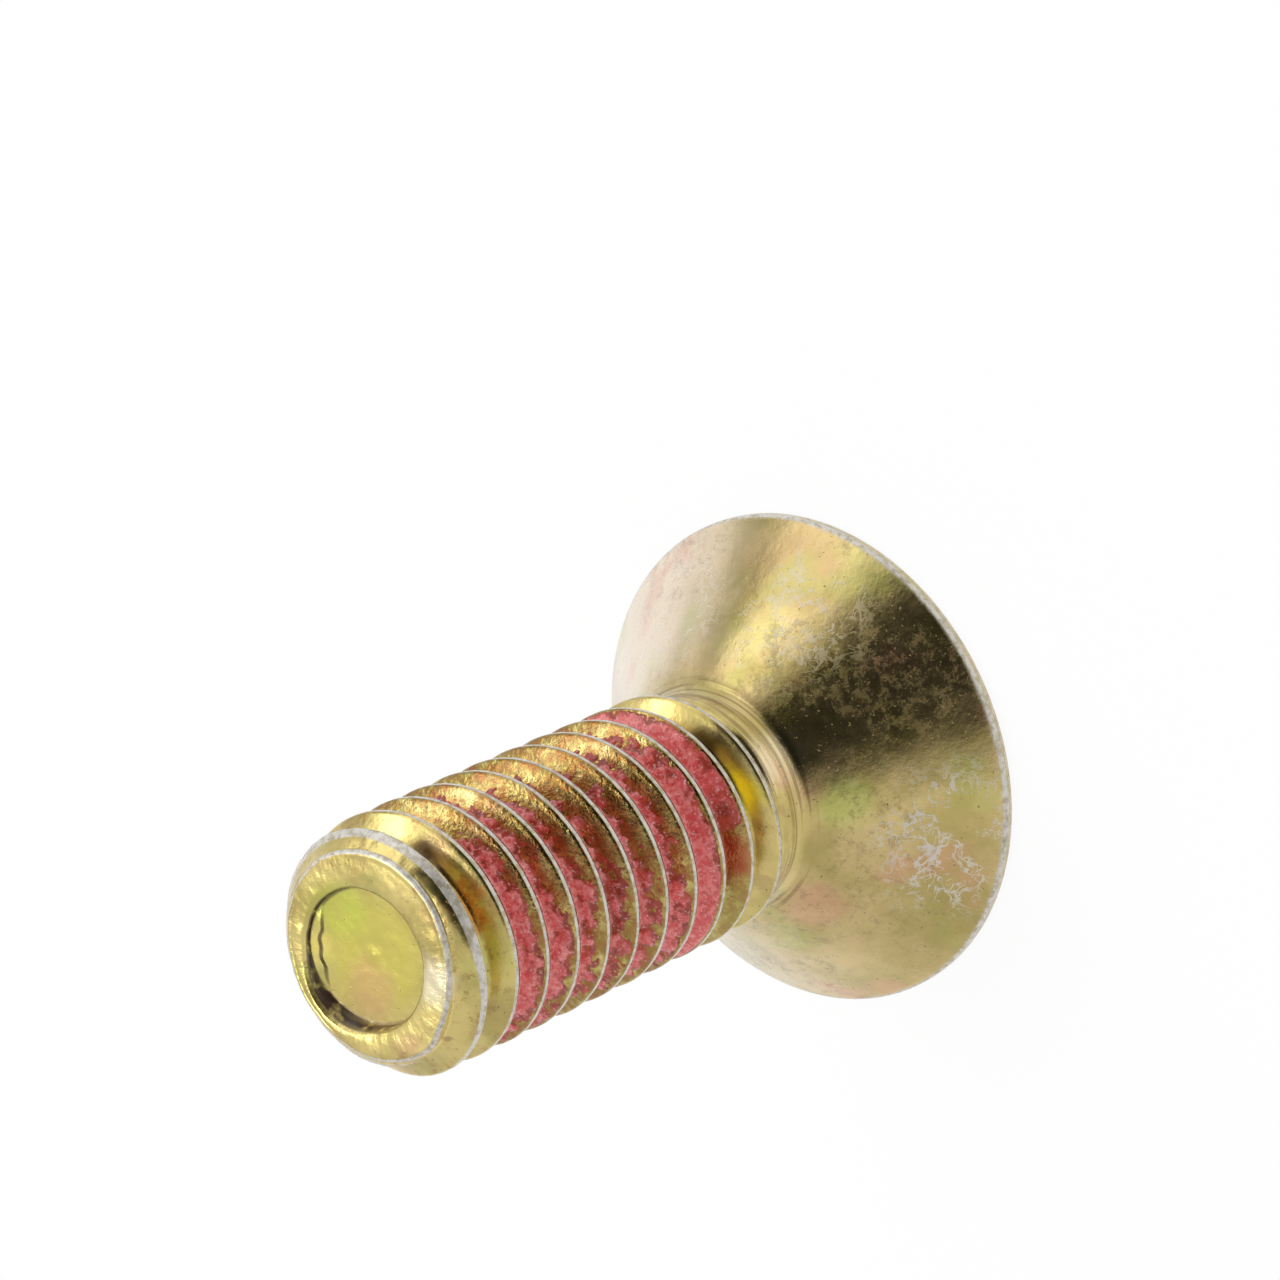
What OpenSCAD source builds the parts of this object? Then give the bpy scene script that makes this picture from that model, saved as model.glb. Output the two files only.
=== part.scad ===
// Countersunk machine screw with a hexagon socket, a rolled right-hand thread
// and a dried thread-locking film in the thread.
// The screw stands on its head: z is 0 at the head's outer face and the tip is up.
// All sizes are in millimetres.

/* [Head] */
// Diameter of the head over its rim
head_d = 12; // [10:0.1:13.5]
// Height of the straight rim between the outer face and the cone
rim_h = 0.3; // [0.1:0.05:0.8]
// Rounding of the rim's outer edge
rim_round_r = 0.1; // [0.02:0.01:0.1]
// Full angle of the cone that seats in the countersink
head_angle = 90; // [80:1:100]
// Radius of the fillet between the cone and the shank
neck_fillet_r = 0.6; // [0.3:0.05:1]

/* [Socket] */
// Width of the hexagon socket across its flats
socket_w = 4; // [3:0.1:4.8]
// Depth of the socket's straight walls
socket_depth = 2.4; // [1.5:0.1:2.8]
// Angle of the chamfer at the socket's mouth, from the outer face
mouth_angle = 45; // [30:1:60]
// How far the mouth's chamfer reaches past the hexagon's corners
mouth_chamfer = 0.1; // [0:0.01:0.3]
// Full angle of the pointed bottom left by the socket punch
socket_point_angle = 130; // [120:1:160]

/* [Thread] */
// Diameter over the thread's crests
thread_d = 5.9; // [5.6:0.05:7]
// Distance from one crest to the next along the screw
pitch = 1; // [0.9:0.05:1.25]
// Depth of the thread from crest to root
thread_depth = 0.56; // [0.5:0.01:0.6]
// Full angle between the two flanks of the thread
flank_angle = 60; // [50:1:62]
// Width of the flat on a full crest
crest_w = 0.13; // [0.05:0.01:0.15]
// Direction in which the thread rises out of the neck, seen from the tip
thread_start_angle = 30; // [0:5:355]
// Turns over which the thread rises to its full height at the neck
runout_turns = 0.5; // [0.3:0.05:1.5]

/* [Shank and end] */
// Length from the head's outer face to the end of the shank
screw_l = 15.5; // [14:0.5:40]
// How far the plain neck lies inside the thread's crests
neck_drop = 0.3; // [0.2:0.05:0.4]
// Height of the neck from its fillet to the thread's full depth
neck_h = 0.7; // [0.7:0.05:2]
// Diameter of the end face
end_d = 4.4; // [4.2:0.05:4.6]
// Length over which the crests round off to the end face
point_l = 0.95; // [0.8:0.05:2]
// Tilt of the sheared end face
end_tilt = 5; // [0:1:8]
// Direction towards which the end face rises
end_tilt_angle = 90; // [0:5:355]
// Diameter of the hollow that thread rolling leaves in the end
hollow_d = 3.2; // [2.4:0.1:3.6]
// Depth of the hollow at its middle
hollow_depth = 0.34; // [0.1:0.02:0.8]
// Further tilt of the hollow's floor
hollow_tilt = 3; // [0:1:6]

/* [Thread-locking film] */
// Distance from the end face to the film's upper end
film_from_end = 2; // [1:0.1:3]
// Distance from the top of the neck to the film's lower end
film_from_neck = 1.7; // [1:0.1:3]
// Height of the film above the thread's root
film_h = 0.3; // [0.1:0.01:0.4]
// Turns over which the film runs out to nothing at each of its ends
film_fade_turns = 0.35; // [0.1:0.05:1]
// Gap left between the film and the metal that it lies on
film_gap = 0.005; // [0.002:0.001:0.02]

/* [Hidden] */

$fn = 96;
turn_steps = 36;
step_angle = 360 / turn_steps;
overlap = 0.01;

// Radii and heights that follow from the driving sizes
head_r = head_d / 2;
crest_r = thread_d / 2;
root_r = crest_r - thread_depth;
neck_r = crest_r - neck_drop;
end_r = end_d / 2;
flank_slope = tan(flank_angle / 2);
cone_tilt = head_angle / 2;
corner_z = rim_h + (head_r - neck_r) / tan(cone_tilt);

// The fillet between cone and neck: its centre and where it meets the neck
fillet_turn = 90 - cone_tilt;
neck_start_z = corner_z + neck_fillet_r * tan(fillet_turn / 2);
fillet_centre = [neck_r + neck_fillet_r, neck_start_z];
fillet_steps = 8;
neck_top_z = neck_start_z + neck_h;
neck_taper_h = crest_r - neck_drop - root_r;

// The ridge is swept in steps round the core, and starts and ends almost level with it
ridge_min = 0.02;
ridge_run_in = 0.4;
thread_start_z = neck_top_z - ridge_run_in;
ridge_steps = ceil((screw_l + pitch - thread_start_z) / pitch * turn_steps);

// The swept shank is sunk in the turned neck, and ends above the end face
shank_sink = 0.1;
shank_seam_gap = 0.005;
shank_seam_z = neck_start_z + 0.02;
shank_top_z = screw_l + 1.6 * pitch;
shank_top_r = end_r - 0.1;

// The film follows the groove, half a pitch above the ridge and step for step with it
film_first_step = ceil((neck_top_z + film_from_neck - pitch / 2 - thread_start_z)
    / pitch * turn_steps);
film_last_step = floor((screw_l - film_from_end - pitch / 2 - thread_start_z)
    / pitch * turn_steps);
film_floor_r = root_r + film_gap;
film_h_min = 0.02;

hex_corner_r = socket_w / 2 / cos(30);
mouth_r = hex_corner_r + mouth_chamfer;

function at(r, angle, z) = [r * cos(angle), r * sin(angle), z];

// The rounded point: a parabola from the full crests in to the end face, and on above it
function point_r(z) = let (t = (screw_l - z) / point_l)
    t > 1 ? crest_r : max(shank_top_r, crest_r - (crest_r - end_r) * pow(1 - t, 2));

// The core's radius: it narrows above the neck and again at the end
function core_r(z) = z < neck_top_z
    ? min(neck_r, root_r + (neck_top_z - z) * (neck_r - root_r) / neck_taper_h)
    : min(root_r, point_r(z));

// The ridge's centre line, and half its width between the flanks at a radius
function crest_z(i) = thread_start_z + pitch * i / turn_steps;
function crest_angle(i) = thread_start_angle + step_angle * i;
function ridge_half_w(r) = crest_w / 2 + (crest_r - r) * flank_slope;

// The radius that the crest has: it rises at the neck and rounds off at the end
function rise_r(i) = neck_r + neck_drop * min(1, i / turn_steps / runout_turns);
function ridge_r(i) = max(core_r(crest_z(i)) + ridge_min,
    min(rise_r(i), point_r(crest_z(i))));

// Where a flank meets the core, on the lower side (-1) or the upper side (1)
function foot(i, side) = let (z = crest_z(i),
        r = core_r(z + side * ridge_half_w(root_r)))
    at(r, crest_angle(i), z + side * ridge_half_w(r));
function ridge_section(i) = let (r = ridge_r(i), a = crest_angle(i), z = crest_z(i))
    [foot(i, -1), at(r, a, z - ridge_half_w(r)), at(r, a, z + ridge_half_w(r)), foot(i, 1)];

// Half the width of the groove at a radius, between the film and the flanks
function groove_half_w(r) = pitch / 2 - ridge_half_w(r) - film_gap / cos(flank_angle / 2);
function film_rise(i) = min(film_fade_turns * turn_steps,
    i - film_first_step, film_last_step - i) / turn_steps / film_fade_turns;
function film_section(i) = let (
        r = film_floor_r + film_h_min + (film_h - film_h_min) * film_rise(i),
        a = crest_angle(i), z = crest_z(i) + pitch / 2)
    [at(film_floor_r, a, z - groove_half_w(film_floor_r)),
     at(r, a, z - groove_half_w(r)),
     at(r, a, z + groove_half_w(r)),
     at(film_floor_r, a, z + groove_half_w(film_floor_r))];

// A closed solid through a list of four-cornered sections
module loft(sections) {
    last = len(sections) - 1;
    sides = [for (i = [0 : last - 1], j = [0 : 3])
        let (a = 4 * i + j, b = 4 * i + (j + 1) % 4)
        each [[a, a + 4, b], [b, a + 4, b + 4]]];
    polyhedron([for (s = sections) each s],
        concat([[0, 1, 2], [0, 2, 3]], sides,
            [[4 * last + 2, 4 * last + 1, 4 * last], [4 * last + 3, 4 * last + 2, 4 * last]]));
}

// Shank with its helical ridge, as one closed surface. Each turn of the ridge shares
// the floor of the groove with the next one, and a ring closes it at either end.
module threaded_shank() {
    n = ridge_steps;
    t = turn_steps;
    low = 4 * (n + 1);
    high = low + t;
    foot_ring = [for (k = [0 : t - 1])
        at(neck_r - shank_seam_gap, crest_angle(k), neck_start_z - shank_sink)];
    top_ring = [for (k = [0 : t - 1]) at(shank_top_r, crest_angle(n + k), shank_top_z)];
    ridge = [for (i = [0 : n - 1], j = [0 : 2]) let (a = 4 * i + j)
        each [[a, a + 1, a + 4], [a + 4, a + 1, a + 5]]];
    groove = [for (i = [0 : n - t - 1]) let (a = 4 * i + 3, b = 4 * (i + t))
        each [[a, b, a + 4], [a + 4, b, b + 4]]];
    skirt = [for (k = [0 : t - 2]) let (a = low + k, b = 4 * k)
        each [[a, b, a + 1], [a + 1, b, b + 4]]];
    collar = [for (k = [0 : t - 2]) let (a = 4 * (n - t + k) + 3, b = high + k)
        each [[a, b, a + 4], [a + 4, b, b + 1]]];
    // The last steps of the skirt and the collar also close the ridge's two ends
    skirt_end = [low, 0, 1, 2, 3, 4 * t, 4 * (t - 1)];
    collar_end = [4 * (n - 1) + 3, 4 * n + 3, 4 * n + 2, 4 * n + 1, 4 * n, 4 * (n - t) + 3, high];
    skirt_fan = [for (j = [0 : len(skirt_end) - 2])
        [low + t - 1, skirt_end[j + 1], skirt_end[j]]];
    collar_fan = [for (j = [0 : len(collar_end) - 2])
        [high + t - 1, collar_end[j + 1], collar_end[j]]];
    polyhedron(
        concat([for (i = [0 : n]) each ridge_section(i)], foot_ring, top_ring),
        concat(ridge, groove, skirt, collar, skirt_fan, collar_fan,
            [[for (k = [0 : t - 1]) low + k], [for (k = [t - 1 : -1 : 0]) high + k]]));
}

// Outline of the head and the foot of the neck, from the axis outwards
module head_outline() {
    fillet = [for (i = [0 : fillet_steps])
        let (a = 180 + fillet_turn * (1 - i / fillet_steps))
        fillet_centre + neck_fillet_r * [cos(a), sin(a)]];
    rim = [for (a = [-90 : 15 : 0])
        [head_r - rim_round_r, rim_round_r] + rim_round_r * [cos(a), sin(a)]];
    polygon(concat([[0, 0]], rim, [[head_r, rim_h]], fillet,
        [[neck_r, shank_seam_z], [0, shank_seam_z]]));
}

// Hexagon socket with a chamfered mouth and a pointed bottom
module socket() {
    translate([0, 0, -overlap])
        linear_extrude(socket_depth + overlap) circle(r = hex_corner_r, $fn = 6);
    point_h = socket_w / 2 / tan(socket_point_angle / 2);
    translate([0, 0, socket_depth - overlap])
        cylinder(h = point_h, r1 = socket_w / 2, r2 = 0);
    mouth_h = mouth_r * tan(mouth_angle);
    translate([0, 0, -overlap])
        cylinder(h = mouth_h, r1 = mouth_r + overlap, r2 = 0);
}

// What is sheared off above the tilted end face, and the hollow that rolling leaves
module end_cut() {
    translate([0, 0, screw_l]) rotate([0, 0, end_tilt_angle]) rotate([0, -end_tilt, 0]) {
        cylinder(h = 3 * pitch, r = thread_d);
        rotate([0, -hollow_tilt, 0])
            translate([0, 0, -hollow_depth]) cylinder(h = 2 * pitch, d = hollow_d);
    }
}

module screw() {
    color([0.72, 0.64, 0.32]) difference() {
        union() {
            rotate_extrude() head_outline();
            threaded_shank();
        }
        socket();
        end_cut();
    }
}

module thread_lock_film() {
    color([0.8, 0.33, 0.36])
        loft([for (i = [film_first_step : film_last_step]) film_section(i)]);
}

screw();
thread_lock_film();
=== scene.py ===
# %% [markdown]
# # A countersunk screw with thread-locking film
#
# The object is one small steel screw: a forged head with a cone under it, a rolled thread, and a
# hollow end. It is plated with zinc and passivated yellow, which gives a gold skin with green and
# pink in it. A dried pink film fills about seven turns of the thread. This lesson builds the fine
# surface of the metal and of the film, their finishes, and the small studio around them. The
# surfaces are computed as rows of points, because a thread is easier to write as a formula than to
# model by hand.
#
# The packed model gives the frame: where the screw stands, how large it is, and the names.

# %% Load the frame
import math
import bpy
import numpy as np
from mathutils import Matrix, Vector, noise


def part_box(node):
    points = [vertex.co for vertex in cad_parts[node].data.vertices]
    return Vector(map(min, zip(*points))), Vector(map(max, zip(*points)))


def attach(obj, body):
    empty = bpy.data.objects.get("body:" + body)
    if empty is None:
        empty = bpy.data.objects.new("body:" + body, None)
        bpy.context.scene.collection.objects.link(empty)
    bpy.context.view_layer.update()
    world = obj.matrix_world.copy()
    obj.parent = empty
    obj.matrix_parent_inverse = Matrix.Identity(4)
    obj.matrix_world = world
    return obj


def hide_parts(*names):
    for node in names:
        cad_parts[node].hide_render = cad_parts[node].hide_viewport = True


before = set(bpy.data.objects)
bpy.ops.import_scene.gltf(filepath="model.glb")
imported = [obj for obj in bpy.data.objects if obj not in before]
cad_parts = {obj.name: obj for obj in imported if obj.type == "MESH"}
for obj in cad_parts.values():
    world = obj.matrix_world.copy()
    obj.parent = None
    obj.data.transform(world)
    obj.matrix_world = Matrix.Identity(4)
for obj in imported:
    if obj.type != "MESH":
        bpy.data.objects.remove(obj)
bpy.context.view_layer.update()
MM = 0.001
screw_low, screw_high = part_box("screw")
print("The screw's box in mm:", [round(v / MM, 2) for v in (*screw_low, *screw_high)])

# %% [markdown]
# ## The sizes
#
# A screw is drawn from few sizes, and all of them are here, in millimetres. The head's diameter
# comes from the frame. The others repeat the driving sizes of the solid model, with a few small
# roundings added. Named once, a size can be changed in one place.

# %% Driving sizes
HEAD_R = screw_high.x / MM
RIM_H = 0.3
RIM_ROUND = 0.1
RIM_EDGE_ROUND = 0.035
CONE_ANGLE = 45
NECK_FILLET = 0.6
NECK_H = 0.7
SOCKET_W = 4.0
SOCKET_DEPTH = 2.4
SOCKET_POINT = math.radians(65)
MOUTH_CHAMFER = 0.1
MOUTH_R = SOCKET_W / 2 / math.cos(math.radians(30)) + MOUTH_CHAMFER
PITCH = 1.0
CREST_R = 2.95
ROOT_R = 2.39
NECK_R = 2.65
CREST_W = 0.13
FLANK = math.tan(math.radians(30))
RUNOUT_TURNS = 0.5
END_Z = 15.5
END_R = 2.2
POINT_L = 0.95
END_TILT = math.tan(math.radians(5))
HOLLOW_R = 1.6
HOLLOW_DEPTH = 0.34
CORNER_Z = RIM_H + HEAD_R - NECK_R
NECK_START_Z = CORNER_Z + NECK_FILLET * math.tan(math.radians(CONE_ANGLE / 2))
NECK_TOP_Z = NECK_START_Z + NECK_H
RIDGE_START_Z = NECK_TOP_Z - 0.4
RIDGE_START_ANGLE = 30.0
CREST_Z = RIDGE_START_Z - PITCH * RIDGE_START_ANGLE / 360
FILM_LOW_Z = NECK_TOP_Z + 1.7
FILM_HIGH_Z = END_Z - 2.0
print("Neck from", round(NECK_START_Z, 3), "to", round(NECK_TOP_Z, 3), "mm")

# %% [markdown]
# ## The shank as a radius over angle and height
#
# Every point of the shank has one radius for its angle and height, so the thread is a function and
# not a model of separate rings. A profile wound up by a screw modifier would do too, but a function
# lets the metal and the film share one surface. The core comes first: it narrows above the neck,
# and near the end a rounded point cuts it and the thread down together. Roots and edges are rounded
# by a smooth minimum, because rolling leaves nothing sharp.

# %% Core and point
def smooth_min(a, b, k):
    """The lower of two values, with a round of about the size k where they cross."""
    h = np.clip(0.5 + 0.5 * (b - a) / k, 0, 1)
    return b * (1 - h) + a * h - k * h * (1 - h)


def smooth_step(low, high, x):
    """From 0 at low to 1 at high, with soft ends; low may be the larger one."""
    t = np.clip((x - low) / (high - low), 0, 1)
    return t * t * (3 - 2 * t)


def point_r(z):
    """The rounded point, from the full crests in to the end face."""
    t = (END_Z - z) / POINT_L
    narrowed = CREST_R - (CREST_R - END_R) * (1 - t) ** 2
    return np.where(t > 1, CREST_R, np.maximum(narrowed, END_R - 0.1))


def core_r(z):
    taper = np.clip((NECK_TOP_Z - z) / (NECK_R - ROOT_R), 0, 1)
    return np.minimum(ROOT_R + (NECK_R - ROOT_R) * taper, point_r(z))


print("The point starts", round(END_Z - POINT_L, 2), "mm above the head's outer face")

# %% [markdown]
# ## The helical ridge
#
# The phase says how many turns a point lies above the middle line of the ridge, and the wedge
# between the two flanks follows from it. The ridge rises out of the neck over half a turn. At the
# end the rounded point cuts it low and leaves a wide blunt crest. The function also tells how much
# of a crest a point is, so that the finish can rub the plating off there.

# %% Radius of the shank
RIDGE_ROUND = 0.05
ROOT_ROUND = 0.1
RUBBED_HALF_W = 0.15


def thread_phase(angle, z):
    """Height above the ridge's middle line, in turns: whole numbers lie on the crests."""
    return (z - CREST_Z) / PITCH - angle / 360


def shank(angle, z):
    """The shank's radius at an angle in degrees and a height, and how much of a crest it is."""
    phase = thread_phase(angle, z)
    away = phase - np.round(phase)
    ridge_z = z - away * PITCH
    turns = (ridge_z - RIDGE_START_Z) / PITCH
    wedge = CREST_R - (np.abs(away) * PITCH - CREST_W / 2) / FLANK
    risen = np.clip(turns / RUNOUT_TURNS, -0.1, 1)
    rise = np.where(turns > RUNOUT_TURNS, CREST_R, NECK_R + (CREST_R - NECK_R) * risen)
    top = np.minimum(np.minimum(rise, point_r(z)), CREST_R)
    ridge = smooth_min(wedge, top, RIDGE_ROUND)
    core = core_r(z)
    radius = -smooth_min(-ridge, -core, ROOT_ROUND)
    flat = CREST_W / 2 + (CREST_R - top) * FLANK
    rubbed = np.minimum(flat, RUBBED_HALF_W)
    crest = smooth_step(rubbed + 0.01, rubbed - 0.045, np.abs(away * PITCH + flat - rubbed))
    return radius, crest * smooth_step(0.02, 0.15, top - core)


crest_height = CREST_Z + 6 * PITCH
for place, z in (("crest", crest_height), ("root", crest_height + PITCH / 2)):
    print("Radius at a", place, "in mm:", round(float(shank(0, z)[0]), 3))

# %% [markdown]
# ## Rows from the socket's middle to the end's middle
#
# The whole skin is one closed sheet of rows. Each row is a ring of points, and each point has a
# radius, a height and a number that says how far it is rubbed bare, or, where that number is below
# nothing, how dark the hollow is painted there: partly its soil and partly painted shade.

# %% Columns and rows
COLUMNS = 216
angle = np.arange(COLUMNS) * 360.0 / COLUMNS
cos_a = np.cos(np.radians(angle))
sin_a = np.sin(np.radians(angle))
rows_r, rows_z, rows_crest = [], [], []


def add_row(r, z, crest=0.0):
    rows_r.append(np.broadcast_to(np.asarray(r, float), angle.shape).copy())
    rows_z.append(np.broadcast_to(np.asarray(z, float), angle.shape).copy())
    rows_crest.append(np.broadcast_to(np.asarray(crest, float), angle.shape).copy())


print("Points in a row:", COLUMNS)

# %% [markdown]
# ## The socket
#
# A punch forms the socket, so it has six flat walls, a pointed round floor and a small chamfer at
# the mouth. A hexagonal prism could be cut out of the head, but a cut leaves long thin triangles.
# Here the rings go from round to hexagonal at the floor and back to round at the mouth. Every 36th
# column falls on a corner, which keeps the corners sharp.

# %% Rows of the socket
FLOOR_RINGS = 6
WALL_RINGS = 10
FLOOR_MARGIN = 0.06


def socket_rows():
    """The hexagon socket, from its pointed floor down its walls to the outer face."""
    hexagon = SOCKET_W / 2 / np.cos(np.radians((angle + 30) % 60 - 30))
    for r in np.linspace(0.3, SOCKET_W / 2 - FLOOR_MARGIN, FLOOR_RINGS):
        add_row(r, SOCKET_DEPTH + (SOCKET_W / 2 - r) / math.tan(SOCKET_POINT))
    add_row(hexagon - FLOOR_MARGIN / 2, SOCKET_DEPTH)
    chamfer = MOUTH_R - hexagon
    for t in np.linspace(0, 1, WALL_RINGS):
        add_row(hexagon, SOCKET_DEPTH * (1 - t) + chamfer * t)
    for t in (0.5, 1):
        add_row(hexagon * (1 - t) + MOUTH_R * t, chamfer * (1 - t))


socket_rows()
print("Rows of the socket:", len(rows_r))

# %% [markdown]
# ## The head
#
# The head has a flat outer face, a narrow land round the rim, and the cone that sits in the work.
# The cone leans at 45 degrees, so it rises as much as it narrows. A fillet joins it to the neck,
# where a sharp corner would crack. Handling rubs the rim first, so its rows carry a high number.
# The head alone could be a spun profile, but rows of the same count join on to the socket and the
# shank without a seam.

# %% Rows of the head
RIM_WORN = 0.6


def head_rows():
    """The outer face, the rounded rim, the cone and the fillet up to the neck."""
    for r in np.linspace(MOUTH_R + 0.04, HEAD_R - RIM_ROUND, 8):
        add_row(r, 0)
    for a in np.radians(np.linspace(-75, 0, 6)):
        add_row(HEAD_R - RIM_ROUND * (1 - math.cos(a)), RIM_ROUND * (1 + math.sin(a)), RIM_WORN)
    for t, worn in ((0.4, 0.4), (0.85, 1), (1, 1)):
        add_row(HEAD_R, RIM_ROUND + (RIM_H - RIM_EDGE_ROUND - RIM_ROUND) * t, worn)
    add_row(HEAD_R - RIM_EDGE_ROUND * 0.3, RIM_H, 1)
    fillet_low_r = NECK_R + NECK_FILLET * (1 - math.cos(math.radians(CONE_ANGLE)))
    for t in np.linspace(0.012, 1, 34):
        r = HEAD_R * (1 - t) + fillet_low_r * t
        add_row(r, RIM_H + HEAD_R - r, max(0, 1 - t * 40))
    for a in np.radians(np.linspace(CONE_ANGLE, 0, 12)[1:]):
        add_row(NECK_R + NECK_FILLET * (1 - math.cos(a)), NECK_START_Z - NECK_FILLET * math.sin(a))


head_rows()
shank_first = len(rows_r) - 1
print("Rows up to the neck:", len(rows_r))

# %% [markdown]
# ## The threaded shank
#
# Level rings would cross the ridge at a slant and need very many points to show its edges. So round
# the thread the rows climb with the ridge, and they crowd together near its crests, where the
# surface bends most. A few rows fan out between the level neck and the first climbing row, and
# others between the last one and the end.

# %% Rows of the shank
ROWS_PER_PITCH = 24
CROWDING = 0.5
HELIX_TURNS = 10
EDGE_ROUND = 0.12


def end_plane(r):
    """Height of the tilted end face at a radius, round the whole ring of columns."""
    return END_Z + END_TILT * r * sin_a


def crowded(turns):
    """Turns of the ridge, moved towards the nearest crest."""
    return turns - CROWDING * math.sin(2 * math.pi * turns) / (2 * math.pi)


def add_shank_row(z):
    radius, crest = shank(angle, z)
    add_row(radius, z, crest)


def shank_rows():
    """Rows up the shank: a few that spread the neck, the climbing ones, and those of the point."""
    foot = CREST_Z + PITCH * angle / 360
    first = foot + PITCH * crowded(-3 / ROWS_PER_PITCH)
    last = first + HELIX_TURNS * PITCH
    edge_z = end_plane(END_R) - EDGE_ROUND
    for t in np.linspace(0, 1, 12)[1:-1]:
        add_shank_row(NECK_START_Z * (1 - t) + first * t)
    for j in range(HELIX_TURNS * ROWS_PER_PITCH + 1):
        add_shank_row(foot + PITCH * crowded((j - 3) / ROWS_PER_PITCH))
    for t in np.linspace(0, 1, 40)[1:]:
        add_shank_row(last * (1 - t) + edge_z * t)


shank_rows()
shank_last = len(rows_r) - 1
print("Rows of the shank:", shank_last - shank_first)

# %% [markdown]
# ## The hollow end
#
# Thread rolling pushes the skin of the bar forward over its end, and a lip rolls over round a
# shallow hollow. The lip is wider on one side, and there a thin lap of metal lies on the hollow's
# floor. The floor is tilted a little, and a faint dimple in its middle is left from turning. These
# forms could be sculpted, but a few waves in the rows give them too, and stay easy to change.

# %% Rows of the end
LIP_WIDE_AT = 108
LIP_EXTRA = 0.2
LAP_AT = 62
LAP_W = 0.26
LAP_H = 0.06
FLOOR_TILT_X = 0.078
FLOOR_TILT_Y = 0.155


def hollow_floor(r):
    return END_Z - HOLLOW_DEPTH + r * (FLOOR_TILT_X * cos_a + FLOOR_TILT_Y * sin_a)


def lip_rows(lip_r, wide):
    """The rounded edge of the end, the flat of the lip and the wall of the hollow."""
    side_r = rows_r[-1]
    side_z = rows_z[-1]
    top_z = end_plane(END_R)
    for a in np.radians(np.linspace(0, 90, 8)[1:]):
        out = side_r - EDGE_ROUND * (1 - math.cos(a))
        add_row(out, side_z + (top_z - side_z) * math.sin(a), smooth_step(1.5, 1.0, a))
    out = side_r - EDGE_ROUND
    for t in np.linspace(0, 1, 16)[1:]:
        r = out * (1 - t) + lip_r * t
        sag = 0.015 * math.sin(math.pi * min(1, t * 1.15)) - 0.05 * (max(0, t - 0.75) / 0.25) ** 2
        add_row(r, top_z + END_TILT * (r - END_R) * sin_a + sag)
    for t in np.linspace(0, 1, 9)[1:]:
        r = lip_r * (1 - t) + HOLLOW_R * t - 0.02 * math.sin(math.pi * t)
        z = (end_plane(HOLLOW_R) - 0.05) * (1 - t) + (hollow_floor(HOLLOW_R) + 0.02) * t
        # Below nothing: the wall is painted dark brown, most in its middle and on the wide side,
        # partly as soil and partly as painted shade.
        add_row(r, z, -0.4 - 0.6 * np.maximum(wide, math.sin(math.pi * t)))


def floor_rows():
    """The hollow's floor, with the lap on one side and the dimple in the middle."""
    lap = smooth_step(0.7, 0.95, np.cos(np.radians(angle - LAP_AT)))
    inner = HOLLOW_R - (LAP_W + 0.02 * np.sin(np.radians(19 * angle))) * lap
    near_wall = np.linspace(HOLLOW_R - 0.03, HOLLOW_R - 0.38, 20)
    for r in (*near_wall, *np.linspace(HOLLOW_R - 0.44, 0.05, 20)):
        on_lap = smooth_step(inner - 0.012, inner + 0.012, r) * lap
        dimple = 0.008 * (math.exp(-(r / 0.14) ** 2) - math.exp(-((r - 0.3) / 0.12) ** 2))
        # Darker at the foot of the wall and along the lap's edge: partly soil and partly painted
        # shade in these creases.
        soil_and_shade = smooth_step(0.05, 0.01, np.abs(inner - r)) * lap + smooth_step(1.5, 1.58, r)
        add_row(r, hollow_floor(r) + LAP_H * on_lap + dimple, -0.8 * np.minimum(soil_and_shade, 1))


wide = np.exp(-((angle - LIP_WIDE_AT) / 38) ** 2)
lip_rows(HOLLOW_R + 0.03 + LIP_EXTRA * wide + 0.02 * np.sin(np.radians(3 * angle + 40)), wide)
floor_rows()
print("Rows:", len(rows_r), "of", COLUMNS, "points")

# %% [markdown]
# ## From rows to a mesh
#
# Plain quads join each row to the next. After one turn a climbing row arrives a whole pitch
# higher, so its last point doesn't meet its first. That one column is zipped with triangles: of
# the two next points on either side, the lower one always closes the next triangle.

# %% Faces of the screw
def zip_column(left, right, left_z, right_z):
    """Triangles between two vertical lines of points with the same two ends."""
    faces = []
    i = j = 0
    while i < len(left) - 1 or j < len(right) - 1:
        if j == len(right) - 1 or (i < len(left) - 1 and left_z[i + 1] < right_z[j + 1]):
            faces.append((left[i], right[j], left[i + 1]))
            i += 1
        else:
            faces.append((left[i], right[j], right[j + 1]))
            j += 1
    return faces


def screw_faces(row_count):
    faces = []
    for row in range(row_count - 1):
        low = row * COLUMNS
        high = low + COLUMNS
        for k in range(COLUMNS - 1):
            faces.append((low + k, low + k + 1, high + k + 1, high + k))
        if not shank_first <= row < shank_last:
            faces.append((low + COLUMNS - 1, low, high, high + COLUMNS - 1))
    span = range(shank_first, shank_last + 1)
    faces += zip_column([row * COLUMNS + COLUMNS - 1 for row in span],
                        [row * COLUMNS for row in span],
                        [rows_z[row][-1] for row in span],
                        [rows_z[row][0] for row in span])
    start = row_count * COLUMNS
    last = start - COLUMNS
    for k in range(COLUMNS):
        after = (k + 1) % COLUMNS
        faces.append((start, after, k))
        faces.append((start + 1, last + k, last + after))
    return faces


print("Faces of the screw:", len(screw_faces(len(rows_r))))

# %% [markdown]
# ## The screw as a piece
#
# Forged and rolled steel is never quite true, so noise moves each point by about a hundredth of a
# millimetre before the mesh is made. A bump in the finish would do for mirrors, but wouldn't show
# at the outline. Without a seed of its own this noise starts from the clock and is another one each
# run. The rubbed parts, and the soil and painted shade of the hollow, go with the mesh as one number
# a point, under a name that the finish reads.

# %% Build the screw
UNEVEN = 0.01
COARSE_PER_MM = 1.3
FINE_PER_MM = 5
TRUE_BELOW_Z = 0.35
noise.seed_set(1)


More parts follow.
